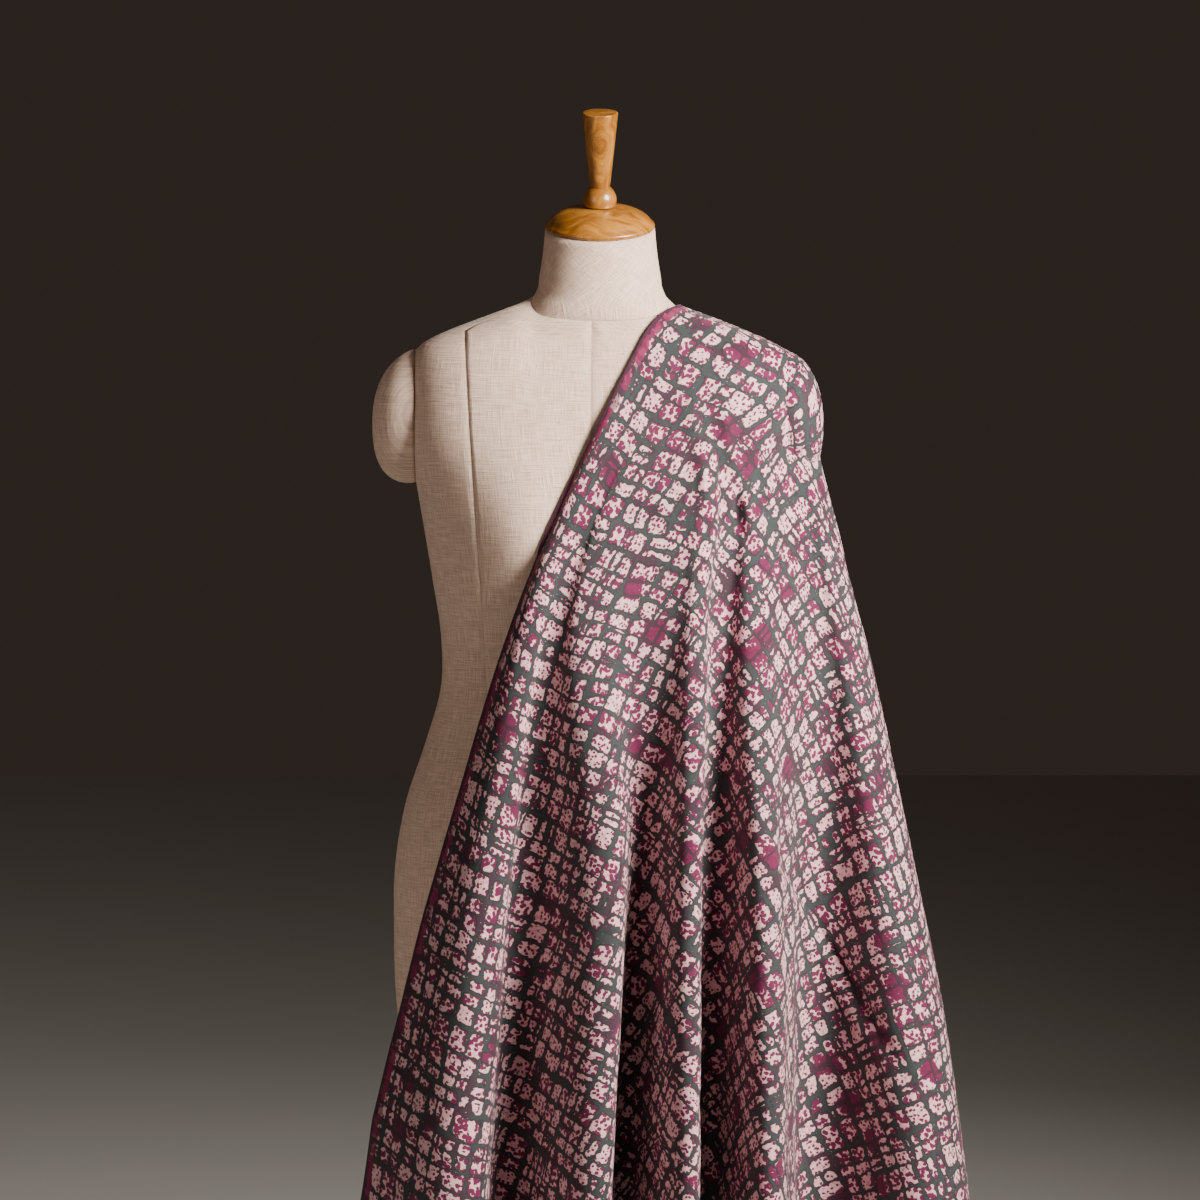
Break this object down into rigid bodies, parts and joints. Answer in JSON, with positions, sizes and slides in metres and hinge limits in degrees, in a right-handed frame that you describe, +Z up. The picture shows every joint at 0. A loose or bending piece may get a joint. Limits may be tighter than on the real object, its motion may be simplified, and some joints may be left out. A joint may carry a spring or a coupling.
{
  "type": "batik print cotton fabric on dress form",
  "caption": "Length of batik print cotton draped over one shoulder of a linen dress form on a plain pole stand, falling in deep folds at front and back.",
  "frame": {"origin": "centre of the base's underside, on the floor", "axes": "+Z up along the pole, the form faces -Y, and the cloth hangs from the shoulder at +X"},
  "size_m": [0.6309, 0.5886, 1.6875],
  "materials": {
    "batik_cotton": "matte printed cotton",
    "linen_cover": "matte slubby linen",
    "varnished_wood": "gloss varnish",
    "painted_steel": "satin black paint"
  },
  "bodies": {
    "root": {"fabric": "batik_cotton", "form_torso": "linen_cover", "arm_cap_left": "linen_cover", "arm_cap_right": "linen_cover", "neck_cap": "varnished_wood", "finial": "varnished_wood", "pole": "painted_steel", "base": "painted_steel"}
  },
  "joints": []
}
